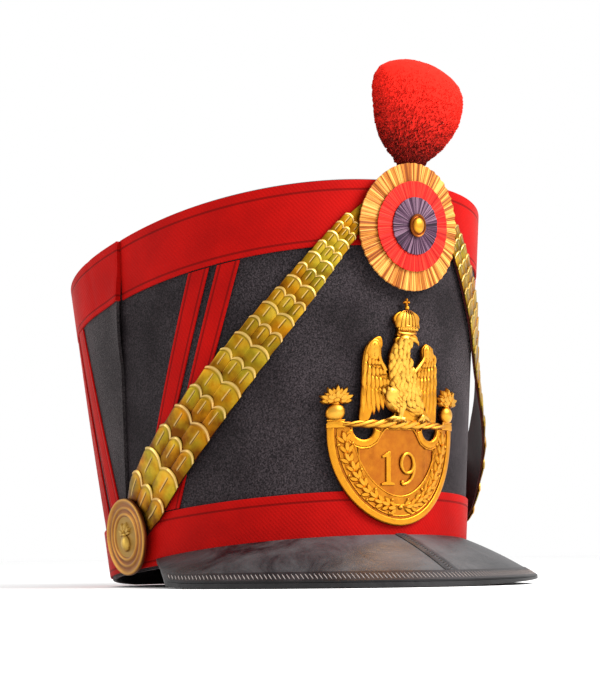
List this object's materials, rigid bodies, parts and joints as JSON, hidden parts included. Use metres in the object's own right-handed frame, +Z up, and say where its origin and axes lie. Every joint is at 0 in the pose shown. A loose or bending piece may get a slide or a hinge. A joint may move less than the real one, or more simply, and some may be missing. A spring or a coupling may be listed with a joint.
{
  "type": "shako hat",
  "caption": "Tall felt military cap that widens to a flat sloping top, with peak, red bands, stamped front plate, cockade, pompom and chin scales.",
  "frame": {"origin": "middle of the box that holds the whole hat, on the surface it stands on", "axes": "+Z up as the hat stands on the back of its rim and the edge of its peak; the front with the plate faces -Y and the wearer's right is -X"},
  "size_m": [0.2289, 0.2787, 0.2715],
  "materials": {
    "black_felt": "thick black felt with a violet-grey bloom",
    "red_braid": "woven red braid, dull",
    "black_leather": "black leather, waxed to a soft shine",
    "gilt_brass": "stamped and gilt, bright",
    "scale_brass": "olive-yellow brass scales on leather",
    "bronze": "dark reddish brass",
    "yellow_silk": "pleated ribbon",
    "red_silk": "ribbed ribbon",
    "violet_silk": "gathered ribbon",
    "red_wool": "clipped wool"
  },
  "bodies": {
    "root": {"boss_left": "bronze", "boss_right": "bronze", "bottom_band_back": "red_braid", "bottom_band_front": "red_braid", "chevron_left_back_inner": "red_braid", "chevron_left_back_outer": "red_braid", "chevron_left_front_inner": "red_braid", "chevron_left_front_outer": "red_braid", "chevron_right_back_inner": "red_braid", "chevron_right_back_outer": "red_braid", "chevron_right_front_inner": "red_braid", "chevron_right_front_outer": "red_braid", "chin_scales_left": "scale_brass", "chin_scales_right": "scale_brass", "cockade_button": "gilt_brass", "cockade_fringe": "yellow_silk", "cockade_red": "red_silk", "cockade_violet": "violet_silk", "crown_back": "black_felt", "crown_front": "black_felt", "crown_top": "black_leather", "front_plate": "gilt_brass", "peak": "black_leather", "peak_border": "black_leather", "peak_seam": "black_leather", "pompom": "red_wool", "pompom_stem": "black_leather", "top_band_back": "red_braid", "top_band_front": "red_braid"}
  },
  "joints": []
}
